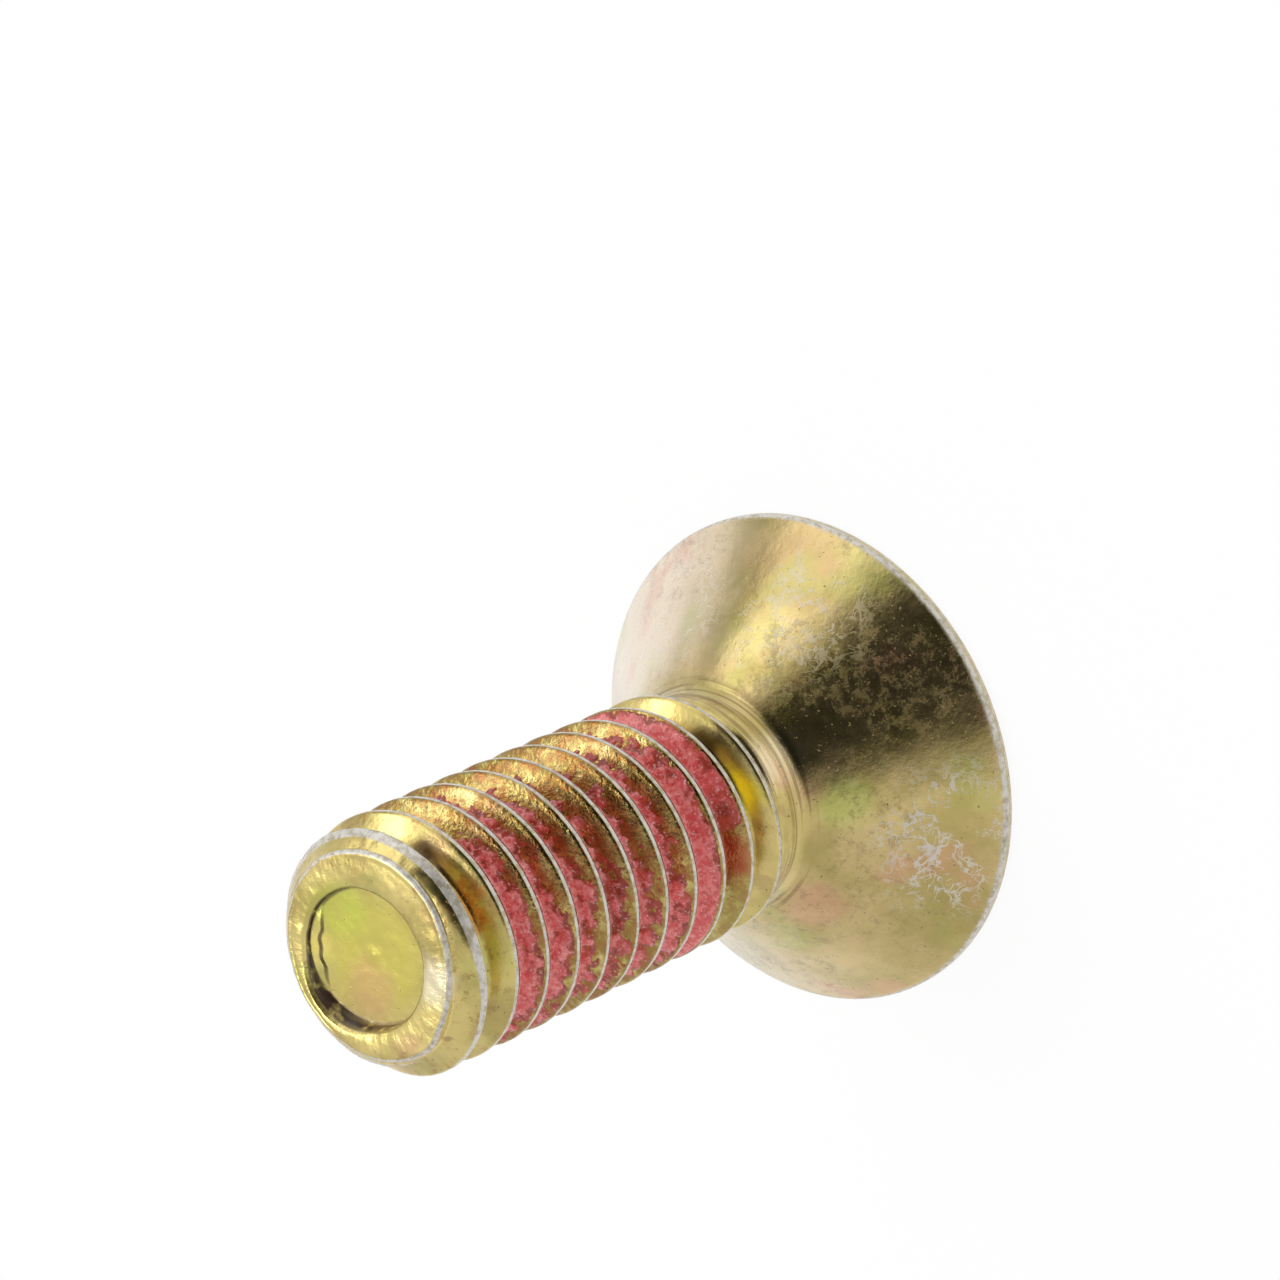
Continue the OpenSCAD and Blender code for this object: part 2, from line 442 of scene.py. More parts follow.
def new_piece(name, points, faces):
    mesh = bpy.data.meshes.new(name)
    mesh.from_pydata(points, [], faces)
    mesh.shade_smooth()
    piece = bpy.data.objects.new(name, mesh)
    bpy.context.scene.collection.objects.link(piece)
    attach(piece, "root")
    return piece


def set_numbers(piece, name, values):
    """Stores one number a point, for the finish to read by its name."""
    attribute = piece.data.attributes.new(name, "FLOAT", "POINT")
    attribute.data.foreach_set("value", np.asarray(values, np.float32))


def uneven(points):
    """Moves each point a little: more on the lip, and not at all on the outer face and the rim."""
    moved = []
    for x, y, z in points:
        coarse = noise.noise_vector(Vector((x, y, z)) * COARSE_PER_MM)
        fine = noise.noise_vector(Vector((x, y, z)) * FINE_PER_MM)
        end = 0.6 + 1.2 * (z > END_Z - 0.7) * (math.hypot(x, y) > HOLLOW_R)
        slip = (coarse + fine * 0.6) * UNEVEN * end * (z > TRUE_BELOW_Z)
        moved.append((x + slip.x, y + slip.y, z + slip.z))
    return moved


radius = np.array(rows_r)
height = np.array(rows_z)
points = np.stack([radius * cos_a, radius * sin_a, height], axis=-1).reshape(-1, 3)
points = np.array(uneven(points))
socket_tip = [0, 0, SOCKET_DEPTH + SOCKET_W / 2 / math.tan(SOCKET_POINT)]
hollow_mid = [0, 0, END_Z - HOLLOW_DEPTH + 0.015]
points = np.vstack([points, socket_tip, hollow_mid])
screw = new_piece("plated_screw", (points * MM).tolist(), screw_faces(len(rows_r)))
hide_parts("screw")
set_numbers(screw, "crest", np.append(np.array(rows_crest).ravel(), [0, 0]))
print("Screw:", sum(len(face.vertices) - 2 for face in screw.data.polygons), "triangles")

# %% [markdown]
# ## The dried film
#
# Thread-locking paint runs into the groove while it is wet and dries to a lumpy skin. It is thick
# on the floor of the groove and thins out on the flanks, with bare spots where the metal shows.
# It could be only paint in the metal's finish, but it has a body that catches light of its own. So
# the film is the metal's own surface, lifted by a thickness that noise gives. Where that thickness
# falls below nothing, the skin dips under the metal and the metal shows.

# %% Thickness of the film
LUMPS_PER_MM = 3.4
GRAIN_PER_MM = 7
PATCHES_PER_MM = 0.8
FILM_BODY = 0.13
BARE_EDGE = -0.95
THIN_SIDE = math.radians(28)
LOW_SIDE = math.radians(-150)
THIN_MIDDLE_TURN = 3.7


def film_thickness(turns, end, across, x, y, z):
    """Thickness in mm at a point: a lumpy body that ends in ragged edges.

    The turns count from the film's start near the head, and end counts them from its other end.
    Across runs from -1 on the head's side of the groove to 1 on the tip's side.
    """
    spot = Vector((x, y, z))
    lumps = noise.fractal(spot * LUMPS_PER_MM, 0.6, 2.1, 3)
    grain = noise.fractal(spot * GRAIN_PER_MM + Vector((7, 3, 1)), 0.6, 2.2, 2)
    patches = noise.noise(spot * PATCHES_PER_MM + Vector((2.3, 9.1, 4.7)))
    full = smooth_step(1.6, 0.6, turns)
    lumps *= 1 - 0.5 * full
    low_side = max(0, math.cos(math.atan2(y, x) - LOW_SIDE))
    bare = BARE_EDGE - 0.5 * full - 0.3 * patches - 0.25 * lumps - 0.35 * low_side ** 2
    side = smooth_step(bare, bare + 0.85, across)
    thin_side = 0.5 + 0.5 * math.cos(math.atan2(y, x) - THIN_SIDE)
    thinned = 0.1 * thin_side ** 3 * (0.7 + 1.1 * patches) * (1 - 0.5 * full)
    middle = math.exp(-((turns - THIN_MIDDLE_TURN) / 1.4) ** 2)
    body = FILM_BODY * side - 0.028 - thinned - 0.045 * middle
    ends = max(0, min(1, turns / 0.1, (end + 0.05 * lumps + 0.02 * grain - 0.02) / 0.05))
    return (body + 0.06 * lumps * side + 0.012 * grain) * ends - 0.02 * (1 - ends)


print("The film's lumps are about", round(1 / LUMPS_PER_MM, 1), "mm apart")

# %% [markdown]
# ## The film as a ribbon
#
# The ribbon follows the groove from one end of the film to the other. Its skin has many points
# across, for the ragged edge, and its base has four, because the metal hides it. Skin, base, sides
# and ends close it to a solid, and it never stands out past the crests.

# %% Points of the film
FILM_STEPS_PER_TURN = 360
FILM_ACROSS = 25
BASE_ACROSS = np.array([-1, -0.28, 0.28, 1])
FILM_DEPTH = 0.05
FILM_MOST = 0.2
CREST_MARGIN = 0.03


def groove(winding, across):
    """Radius and height of the metal across the groove, from one crest to the next."""
    reach = PITCH / 2 - CREST_W / 2 - CREST_MARGIN
    z = CREST_Z + PITCH * (winding / 360 + 0.5) + across * reach
    return shank(np.full(len(across), winding), z)[0], z


def film_mesh():
    """One ribbon along the groove: a skin that noise lifts, and a plain base under the metal."""
    first = 360 * (FILM_LOW_Z - CREST_Z) / PITCH - 180
    last = 360 * (FILM_HIGH_Z - CREST_Z) / PITCH - 180
    count = round((last - first) / 360 * FILM_STEPS_PER_TURN)
    across = np.linspace(-1, 1, FILM_ACROSS)
    skin, base, depth = [], [], []
    for winding in np.linspace(first, last, count + 1):
        c, s = math.cos(math.radians(winding)), math.sin(math.radians(winding))
        turns, end = (winding - first) / 360, (last - winding) / 360
        for w, r, z in zip(across, *groove(winding, across)):
            thick = film_thickness(turns, end, w, r * c, r * s, z)
            thick = max(-CREST_MARGIN, min(FILM_MOST, thick, CREST_R - CREST_MARGIN - r))
            skin.append(((r + thick) * c, (r + thick) * s, z))
            depth.append(thick)
        for r, z in zip(*groove(winding, BASE_ACROSS)):
            base.append(((r - FILM_DEPTH) * c, (r - FILM_DEPTH) * s, z))
    return skin, base, depth, count + 1


skin, base, depth, lines = film_mesh()
print("Lines across the film:", lines)

# %% [markdown]
# ## The film's faces
#
# The skin and the base are strips of quads between the lines. Two more strips close the sides, and
# one face closes each end.

# %% Build the film
def strip_faces(start, wide, lines, step):
    """Quads between lines of points; step turns their outer side about."""
    faces = []
    for i in range(lines - 1):
        for j in range(wide - 1):
            a = start + i * wide + j
            faces.append((a, a + wide, a + wide + 1, a + 1)[::step])
    return faces


def film_faces(lines):
    """The skin, the base, both sides and both ends."""
    under = lines * FILM_ACROSS
    base_wide = len(BASE_ACROSS)
    faces = strip_faces(0, FILM_ACROSS, lines, 1) + strip_faces(under, base_wide, lines, -1)
    for i in range(lines - 1):
        a, b = i * FILM_ACROSS, under + i * base_wide
        faces.append((a, b, b + base_wide, a + FILM_ACROSS))
        a, b = a + FILM_ACROSS - 1, b + base_wide - 1
        faces.append((a + FILM_ACROSS, b + base_wide, b, a))
    for i, step in ((0, 1), (lines - 1, -1)):
        top = list(range(i * FILM_ACROSS, (i + 1) * FILM_ACROSS))
        low = list(range(under + i * base_wide, under + (i + 1) * base_wide))
        faces.append((top + low[::-1])[::step])
    return faces


film_points = (np.array(skin + base) * MM).tolist()
film = new_piece("dried_film", film_points, film_faces(lines))
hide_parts("thread_lock_film")
set_numbers(film, "thickness", np.append(depth, np.zeros(len(base))))
print("Film:", sum(len(face.vertices) - 2 for face in film.data.polygons), "triangles, up to",
      round(max(depth), 3), "mm thick")

# %% [markdown]
# ## Maths on a shader's sockets
#
# A finish is mostly arithmetic on patterns. One small class wraps a socket, so that a mask can be
# written as an expression, and each sign in it adds one Math node.

# %% Socket maths
class Flow:
    """A shader socket that can be added, multiplied and compared like a number."""

    def __init__(self, nodes, socket):
        self.nodes = nodes
        self.socket = socket

    def maths(self, operation, *values):
        return self.nodes.flow(0, "ShaderNodeMath", {"operation": operation}, values)

    def __add__(self, other):
        return self.maths("ADD", self, other)

    def __radd__(self, other):
        return self.maths("ADD", other, self)

    def __sub__(self, other):
        return self.maths("SUBTRACT", self, other)

    def __rsub__(self, other):
        return self.maths("SUBTRACT", other, self)

    def __mul__(self, other):
        return self.maths("MULTIPLY", self, other)

    def __rmul__(self, other):
        return self.maths("MULTIPLY", other, self)

    def __truediv__(self, other):
        return self.maths("DIVIDE", self, other)

    def __pow__(self, other):
        return self.maths("POWER", self, other)

    def at_most(self, other):
        return self.maths("MINIMUM", self, other)

    def at_least(self, other):
        return self.maths("MAXIMUM", self, other)

    def step(self, low, high):
        """From 0 at low to 1 at high, with soft ends; low may be the larger one."""
        return self.nodes.flow(0, "ShaderNodeMapRange",
                               {"interpolation_type": "SMOOTHSTEP", "clamp": True},
                               {"Value": self, "From Min": low, "From Max": high})


print("Sockets can be joined by + - * / and **")

# %% [markdown]
# ## Nodes by one method
#
# The second class holds the nodes of a material or of the world. One method makes any node from its
# type, its settings and its inputs, so a finish reads as a list of what it is made of.

# %% Nodes
class Nodes:
    """The node tree of a material or a world."""

    def __init__(self, owner):
        owner.use_nodes = True
        self.tree = owner.node_tree

    def node(self, kind, settings=None, values=None):
        """Makes a node: its settings first, then its sockets by name or in their order."""
        node = self.tree.nodes.new(kind)
        for key, value in (settings or {}).items():
            setattr(node, key, value)
        if not isinstance(values, dict):
            values = dict(enumerate(values or ()))
        for key, value in values.items():
            self.feed(node.inputs[key], value)
        return node

    def feed(self, socket, value):
        if isinstance(value, Flow):
            self.tree.links.new(value.socket, socket)
        else:
            socket.default_value = value

    def flow(self, output, kind, settings=None, values=None):
        """Makes a node and gives one of its outputs, by its name or place."""
        return Flow(self, self.node(kind, settings, values).outputs[output])


print("Ways to make nodes:", [name for name in vars(Nodes) if not name.startswith("_")])

# %% [markdown]
# ## A finish and its patterns
#
# A finish is a material with short ways to make the patterns that a used surface needs: noise of a
# real size in millimetres, soft patches round a place, and bumps of a real height. The patterns are
# computed in space, so they need no picture files and no unwrapping, and stay sharp from near by.

# %% Finish and colour
class Finish(Nodes):
    """A material with a Principled shader and short ways to make its patterns."""

    def __init__(self, name):
        self.material = bpy.data.materials.new(name)
        super().__init__(self.material)
        self.shader = self.tree.nodes["Principled BSDF"]
        self.place = self.flow("Object", "ShaderNodeTexCoord")

    def set(self, **sockets):
        for key, value in sockets.items():
            self.feed(self.shader.inputs[key.replace("_", " ")], value)

    def numbers(self, name):
        return self.flow("Fac", "ShaderNodeAttribute", {"attribute_name": name})

    def noise(self, size_mm, detail=3.0, roughness=0.55, stretch=(1, 1, 1), shift=0.0, warp=0.0):
        """Noise from 0 to 1 whose features are about size_mm wide."""
        scale = [s / (size_mm * MM) for s in stretch]
        moved = self.flow(0, "ShaderNodeMapping", {}, {
            "Vector": self.place, "Location": (shift, shift * 0.7, shift * 1.3), "Scale": scale})
        return self.flow("Fac", "ShaderNodeTexNoise", {}, {
            "Vector": moved, "Scale": 1.0, "Detail": detail, "Roughness": roughness,
            "Distortion": warp})

    def mix(self, amount, first, second):
        """A colour between two others."""
        return self.flow(2, "ShaderNodeMix", {"data_type": "RGBA"}, {
            "Factor": amount, 6: first, 7: second})

    def spot(self, place_mm, radius_mm):
        """A soft patch round a place: 1 in its middle, 0 outside its radius, with a ragged edge."""
        middle = [v * MM for v in place_mm]
        away = self.flow("Value", "ShaderNodeVectorMath", {"operation": "DISTANCE"},
                         [self.place, middle]) / (radius_mm * MM)
        return (away + self.noise(radius_mm * 0.6, 3) * 0.6 - 0.3).step(1.0, 0.35)

    def bump(self, height, distance_mm, strength=1.0, under=None):
        values = {"Height": height, "Distance": distance_mm * MM, "Strength": strength}
        if under is not None:
            values["Normal"] = under
        return self.flow("Normal", "ShaderNodeBump", {}, values)

    def parts(self):
        """The place's three coordinates in millimetres, and the distance from the axis."""
        split = self.node("ShaderNodeSeparateXYZ", {}, [self.place])
        x, y, z = (Flow(self, out) / MM for out in split.outputs)
        return x, y, z, (x * x + y * y) ** 0.5


def colour(red, green, blue):
    """A colour given as it looks on a screen, 0 to 255, turned to the linear values of light."""
    def linear(v):
        v = v / 255
        return v / 12.92 if v <= 0.04045 else ((v + 0.055) / 1.055) ** 2.4
    return (linear(red), linear(green), linear(blue), 1.0)


print("Mid grey as light:", round(colour(128, 128, 128)[0], 3))

# %% [markdown]
# ## Yellow-passivated zinc
#
# The skin is a metal, so its colour is the colour of what it mirrors. Passivation is a film of
# uneven thickness, which shows as olive and gold that drift to green and to pink. Noise gives the
# drift. What sits in one place is a soft patch with a place, a radius, a strength and a colour, and
# the patches are laid one over the other. Some of them are painted light: the pale side of the cone
# is a painted reflection of the bright room, and cream patches on the neck and on the end's ring
# are painted highlights.

# %% Colours of the plating
CONE_BELOW_Z = (4.3, 3.4)
# Patches of the plating's own colour, and of painted light: the second is a painted highlight on the
# neck, the third a painted reflection that makes one side of the cone pale, and the last a painted
# highlight on the end's ring.
PLATING_AND_PAINTED_LIGHT_PATCHES = [
    ((4.1, -3.2, 1.0), 1.6, 0.6, colour(166, 136, 92)),
    ((0.3, -3.1, 4.15), 1.1, 0.7, colour(252, 234, 196)),
    ((5.2, 1.9, 1.0), 4.6, 0.85, colour(246, 228, 206)),
    ((0, 0, 15.2), 1.9, 1.0, colour(216, 202, 100)),
    ((1.3, 0.2, 15.2), 1.0, 0.6, colour(204, 214, 84)),
    ((0.66, 1.24, 15.3), 0.5, 0.8, colour(244, 226, 120)),
    ((-1.05, -1.6, 15.5), 0.8, 0.7, colour(250, 240, 206))]


def lay(f, base, patches):
    """Lays soft patches over a colour, one after the other."""
    for place, radius_mm, strength, tint in patches:
        base = f.mix(f.spot(place, radius_mm) * strength, base, tint)
    return base


def plating(f, cone):
    """Yellow on the thread and beige on the cone, with green and pink patches, and laid patches
    that include painted highlights and a painted reflection.
    """
    yellow = f.mix(f.noise(1.3, 3).step(0.35, 0.65), colour(186, 168, 98), colour(218, 198, 124))
    tan = f.noise(0.8, 4, 0.65, shift=71).step(0.5, 0.66)
    yellow = f.mix(tan * 0.45, yellow, colour(168, 134, 92))
    beige = f.mix(f.noise(1.7, 4).step(0.35, 0.65), colour(178, 160, 94), colour(206, 182, 124))
    # The laid patches include painted highlights on the neck and the ring and a painted reflection on
    # the cone.
    gold = lay(f, f.mix(cone, yellow, beige), PLATING_AND_PAINTED_LIGHT_PATCHES)
    order = f.noise(2.4, 2, shift=11)
    green = (order.step(0.42, 0.3) * 0.18).at_least(f.spot((-1.3, -3.1, 2.9), 0.9) * 0.35)
    pink = (order.step(0.58, 0.72) * 0.35).at_least(f.spot((-3.2, -0.9, 3.0), 1.1) * 0.4)
    pink = pink.at_least(f.spot((-0.6, 0.5, 15.2), 0.9) * 0.35)
    gold = f.mix(green, gold, colour(158, 190, 74))
    return f.mix(pink, gold, colour(226, 158, 136))


print("Patches on the plating:", len(PLATING_AND_PAINTED_LIGHT_PATCHES))

# %% [markdown]
# ## Varnish, stains and painted light
#
# Where the film was laid on, its clear binder has run out over the metal and dried to a brown
# varnish. It has gathered to amber in the last gap and to red beside the film. In the first gap by
# the neck, a bright yellow patch is a painted highlight and a near-black one a painted reflection
# of the room's dark side. Tool marks go round the neck, so their noise is drawn out sideways until
# it varies almost with the height alone.

# %% Stains on the plating
# The first patch is a painted highlight in the gap by the neck and the second a painted reflection of
# the room's dark side beside it; the third is red beside the film, and the last a dark brown patch in
# the last gap.
THREAD_STAIN_AND_PAINTED_LIGHT_PATCHES = [
    ((-0.1, -2.44, 5.35), 0.9, 0.75, colour(246, 224, 66)),
    ((1.25, -2.1, 5.45), 0.6, 0.8, colour(58, 44, 18)),
    ((-1.3, -2.1, 6.2), 0.9, 0.8, colour(168, 66, 46)),
    ((1.55, -1.9, 14.4), 0.55, 0.85, colour(70, 48, 18))]


def stained(f, gold, z, r, filmed):
    """The brown varnish, the amber in the last gap, brown stains, lines round the neck, and the
    patches, two of which are a painted highlight and a painted reflection in the first gap.
    """
    varnish = f.noise(0.4, 6, 0.75, shift=51)
    brown = f.mix(varnish.step(0.5, 0.66), colour(142, 104, 36), colour(150, 64, 26))
    gold = f.mix(varnish.step(0.36, 0.54) * filmed * 0.8, gold, brown)
    amber = f.spot((0.1, -2.4, 14.4), 1.0) * f.noise(0.25, 4, 0.6, shift=58).step(0.42, 0.56)
    gold = f.mix(amber * 0.8, gold, colour(196, 124, 32))
    stains = f.noise(0.35, 5, 0.7, shift=67).step(0.55, 0.66) * z.step(13.6, 14.1) * r.step(1.9, 2.2)
    gold = f.mix(stains * 0.55, gold, colour(146, 104, 58))
    neck = z.step(4.75, 4.5) * r.step(2.98, 2.84)
    lines = f.noise(0.09, 1, 0.5, (0.02, 0.02, 1), 77).step(0.56, 0.64) * neck
    gold = f.mix(lines * 0.5, gold, colour(104, 80, 44))
    # The patches go on last, among them a painted highlight and a painted reflection.
    return lay(f, gold, THREAD_STAIN_AND_PAINTED_LIGHT_PATCHES)


print("Patches on the thread:", len(THREAD_STAIN_AND_PAINTED_LIGHT_PATCHES))

# %% [markdown]
# ## Soil, painted shade, scratches and bare zinc
#
# Brown dust sits on the cone. The hollow is painted darker brown, partly its soil and partly painted
# shade on its wall, at the foot of the wall and along the lap's edge. Handling has left pale curved
# scratches, which follow the middle level of a noise, as contour lines do. Crests, the rim and the
# lip are rubbed through to bright zinc. Each of these gives a mask too, because a dusty, scratched
# or rubbed place is also rougher.

# %% Wear of the plating
def soiled_and_shaded(f, gold, cone):
    """Dust and specks, and the hollow's soil and painted shade where the point's number is below
    nothing.
    """
    patches = f.noise(2.6, 3, shift=8).step(0.42, 0.6)
    dust = f.noise(0.3, 8, 0.82, shift=5).step(0.47, 0.66) * patches * cone
    specks = f.noise(0.1, 3, 0.6, shift=3).step(0.66, 0.74) * 0.8
    # In the hollow: dark brown that is partly soil and partly painted shade on the wall and in the
    # creases.
    inside = (0 - f.numbers("crest")).at_least(0) * f.noise(0.3, 3, shift=21).step(0.2, 0.5)
    soil_and_shade = inside.at_least(dust * 0.36).at_least(specks)
    return soil_and_shade, f.mix(soil_and_shade, gold, f.mix(inside, colour(86, 58, 38), colour(52, 32, 14)))


def curls(f, size_mm, width, shift):
    """Thin curved scratches, which follow the middle level of a noise."""
    level = f.noise(size_mm, 2, 0.5, shift=shift, warp=1.0) - 0.5
    return level.maths("ABSOLUTE", level).step(width, width * 0.4)


def scratched(f, gold, cone):
    """Curled scratches and small scuffs, on three parts of the cone."""
    where = f.spot((-3.2, -4.0, 1.2), 2.4).at_least(f.spot((3.0, -3.2, 1.9), 2.4) * 0.4)
    where = where.at_least(f.spot((4.0, 1.0, 1.5), 3.0) * 0.6)
    scuffs = curls(f, 0.7, 0.026, 31).at_least(curls(f, 0.4, 0.022, 47))
    scuffs = scuffs.at_least(f.noise(0.24, 4, 0.6, shift=37).step(0.57, 0.63))
    scuffs = scuffs * where * f.noise(0.7, 3, shift=41).step(0.46, 0.54) * cone
    return scuffs, f.mix(scuffs * 0.8, gold, colour(222, 217, 206))


def rubbed_bare(f, gold):
    """Bright zinc, with a frayed edge, where the point's number is high."""
    rub = f.noise(0.06, 3, shift=2) * 0.4 + f.noise(0.6, 3, shift=61) * 0.35
    worn = (f.numbers("crest") + rub - 0.62).step(0.0, 0.55)
    silver = f.noise(0.16, 4, 0.65, shift=63).step(0.35, 0.6)
    silver = f.mix(silver, colour(176, 166, 142), colour(214, 210, 202))
    return worn, f.mix(worn, gold, silver)


print("Wear: soil, scratches and bare zinc")

# %% [markdown]
# ## The metal's finish
#
# The masks come together here. Metal with soil, or with the hollow's painted shade, on it is less
# of a metal, and so is rubbed zinc, which looks matt and pale. Three bumps lie over each other: slow
# waves, fine grain, and the beads of dried varnish between the crests, with short rays on the lip
# where the metal flowed inwards.

# %% Finish of the metal
FILMED_FROM_Z = (5.2, 6.2)
FILMED_TO_Z = (13.9, 13.2)
RAYS_PER_RADIAN = 16
RAYS_PER_MM = 1.5


def lip_rays(f, x, y, r):
    """Fine rays round the axis: noise over the angle, drawn out along the radius."""
    around = f.flow(0, "ShaderNodeCombineXYZ", {}, [
        y.maths("ARCTAN2", y, x) * RAYS_PER_RADIAN, r * RAYS_PER_MM, 0.0])
    return f.flow("Fac", "ShaderNodeTexNoise", {}, {"Vector": around, "Scale": 1.0, "Detail": 3.0})


def zinc_finish():
    f = Finish("yellow_zinc")
    x, y, z, r = f.parts()
    cone = z.step(*CONE_BELOW_Z)
    filmed = z.step(*FILMED_FROM_Z) * z.step(*FILMED_TO_Z)
    ring = r.step(1.55, 1.7) * z.step(15.0, 15.2)
    gold = stained(f, plating(f, cone), z, r, filmed)
    # Dust and specks, and the hollow's soil and painted shade.
    soil_and_shade, gold = soiled_and_shaded(f, gold, cone)
    scuffs, gold = scratched(f, gold, cone)
    worn, skin = rubbed_bare(f, gold)
    rough = 0.16 + f.noise(0.5, 4, shift=9) * 0.14 + worn * 0.2 + scuffs * 0.3 + soil_and_shade * 0.3
    rough = rough - filmed * 0.06 + ring * 0.1
    beads = f.noise(0.12, 3, 0.6, shift=55) * (filmed + ring * 0.25) * (1 - worn)
    rays = lip_rays(f, x, y, r) * ring
    normal = f.bump(f.noise(0.6, 4, shift=14), 0.02, 0.7)
    normal = f.bump(f.noise(0.1, 4, 0.65, shift=4) + scuffs * 0.5 + soil_and_shade, 0.005, 0.8, normal)
    normal = f.bump(beads + rays * 0.6, 0.03, 0.8, normal)
    f.set(Base_Color=skin, Metallic=1.0 - soil_and_shade * 0.5 - scuffs * 0.5 - worn * 0.35, Roughness=rough,
          Normal=normal, Coat_Weight=0.5, Coat_Roughness=0.2)
    return f.material


screw.data.materials.append(zinc_finish())
print("Nodes in the metal's finish:", len(screw.data.materials[0].node_tree.nodes))

# %% [markdown]
# ## Dried thread-locking film
#
# The film is a pink skin, darker red where it is thin and the metal below takes its light away.
# Its lumps are painted lighter, a painted highlight, and its hollows darker red, partly painted
# shade. At its very edge it is a clear amber stain, through which the metal shines, so the finish
# turns to metal there. Fine pale specks are painted glints, and dark specks are painted shade in
# pits; both break the surface up.

# %% Finish of the film
def film_finish():
    f = Finish("pink_film")
    grain = f.noise(0.12, 4, 0.62, shift=19)
    clumps = f.noise(0.45, 4, 0.6, shift=6)
    relief = grain * 0.7 + clumps * 0.5 - 0.6
    # The relief lowers the thickness that sets the colour in the film's hollows, so they turn darker
    # red: partly painted shade.
    thick = f.numbers("thickness") + relief * 0.1
    red = f.mix(f.noise(0.4, 3, shift=15).step(0.4, 0.65), colour(156, 54, 26), colour(204, 80, 60))
    amber = f.mix(f.noise(0.5, 3, shift=25).step(0.4, 0.6), colour(150, 92, 24), colour(170, 74, 32))
    # Lighter pink on the lumps of the relief: a painted highlight.
    pink = f.mix(relief.step(-0.06, 0.1), colour(228, 98, 96), colour(250, 152, 148))
    skin = f.mix(thick.step(0.03, 0.085), red, pink)
    thin = thick.step(0.015, -0.01)
    skin = f.mix(thin, skin, amber)
    # Fine pale specks: painted glints.
    painted_glints = f.noise(0.07, 2, 0.6, shift=12).step(0.6, 0.67)
    skin = f.mix(painted_glints * 0.6, skin, colour(255, 222, 220))
    # Dark red specks: painted shade in pits.
    painted_pit_shade = f.noise(0.2, 3, 0.6, shift=33).step(0.56, 0.66)
    skin = f.mix(painted_pit_shade * 0.45, skin, colour(166, 48, 30))
    normal = f.bump(grain, 0.035, 1.0)
    f.set(Base_Color=skin, Metallic=thin * 0.75, Roughness=0.4 - thin * 0.15, Normal=normal,
          Coat_Weight=0.5, Coat_Roughness=0.15)
    return f.material


film.data.materials.append(film_finish())
print("Nodes in the film's finish:", len(film.data.materials[0].node_tree.nodes))

# %% [markdown]
# ## The studio
#
# A polished part shows its surroundings more than its own colour, so the studio is drawn by what
# the metal should mirror: a pale room, one bright box that gives the long highlight down the cone,
# and the dark side of the room round the camera. A picture of a real room would do for mirrors, but
# a drawn card puts each reflection where it is wanted.
#
# The floor is a matt sheet just below the head. To the camera and in mirrors it is mostly white,
# and the rest of it takes the screw's shadow. From below it is clear, so that the socket can be
# seen.

# %% Floor
def plainly_seen(nodes):
    """1 for rays of the camera, of mirrors and through clear materials, and 0 for other rays."""
    path = nodes.node("ShaderNodeLightPath")
    camera, mirror, clear = (Flow(nodes, path.outputs[name]) for name in (
        "Is Camera Ray", "Is Glossy Ray", "Is Transmission Ray"))
    return (camera + mirror + clear).at_most(1.0)


def white_to_sight(name, share):
    """A pale matt floor, white to the camera and in mirrors, and clear when seen from below."""
    f = Finish(name)
    f.set(Base_Color=(0.9, 0.9, 0.9, 1), Roughness=0.9)
    glow = f.flow(0, "ShaderNodeEmission", {}, {"Color": (1, 1, 1, 1), "Strength": 1.0})
    above = f.flow(0, "ShaderNodeMixShader", {}, [
        plainly_seen(f) * share, Flow(f, f.shader.outputs[0]), glow])
    faced = f.flow(0, "ShaderNodeMixShader", {}, [
        f.flow("Backfacing", "ShaderNodeNewGeometry"), above, f.flow(0, "ShaderNodeBsdfTransparent")])
    f.feed(f.tree.nodes["Material Output"].inputs["Surface"], faced)
    return f.material


FLOOR_SIZE = 3.0
FLOOR_GAP = 0.03 * MM
FLOOR_WHITE = 0.93
half = FLOOR_SIZE / 2
floor_mesh = bpy.data.meshes.new("floor")
floor_mesh.from_pydata([(-half, -half, -FLOOR_GAP), (half, -half, -FLOOR_GAP),
                        (half, half, -FLOOR_GAP), (-half, half, -FLOOR_GAP)], [], [(0, 1, 2, 3)])
floor = bpy.data.objects.new("floor", floor_mesh)
bpy.context.scene.collection.objects.link(floor)
floor.data.materials.append(white_to_sight("white_floor", FLOOR_WHITE))
print("Floor:", FLOOR_SIZE, "m wide,", round(FLOOR_GAP / MM, 2), "mm below the head")

# %% [markdown]
# ## The room
#
# The world lights the screw from all sides at a moderate level. Rays of the camera, of mirrors and
# through clear materials see it as a plain pale grey instead, whatever light it gives.

# %% Room
ROOM_LIGHT = 0.75
ROOM_GREY = 0.8
world = bpy.data.worlds.new("white_room")
bpy.context.scene.world = world
room = Nodes(world)
light = room.tree.nodes["Background"]
light.inputs["Color"].default_value = (1, 1, 1, 1)
light.inputs["Strength"].default_value = ROOM_LIGHT
sight = room.flow(0, "ShaderNodeBackground", {}, {
    "Color": (ROOM_GREY, ROOM_GREY, ROOM_GREY, 1), "Strength": 1.0})
picked = room.flow(0, "ShaderNodeMixShader", {}, [
    plainly_seen(room), Flow(room, light.outputs[0]), sight])
room.feed(room.tree.nodes["World Output"].inputs["Surface"], picked)
print("Light of the room:", ROOM_LIGHT)

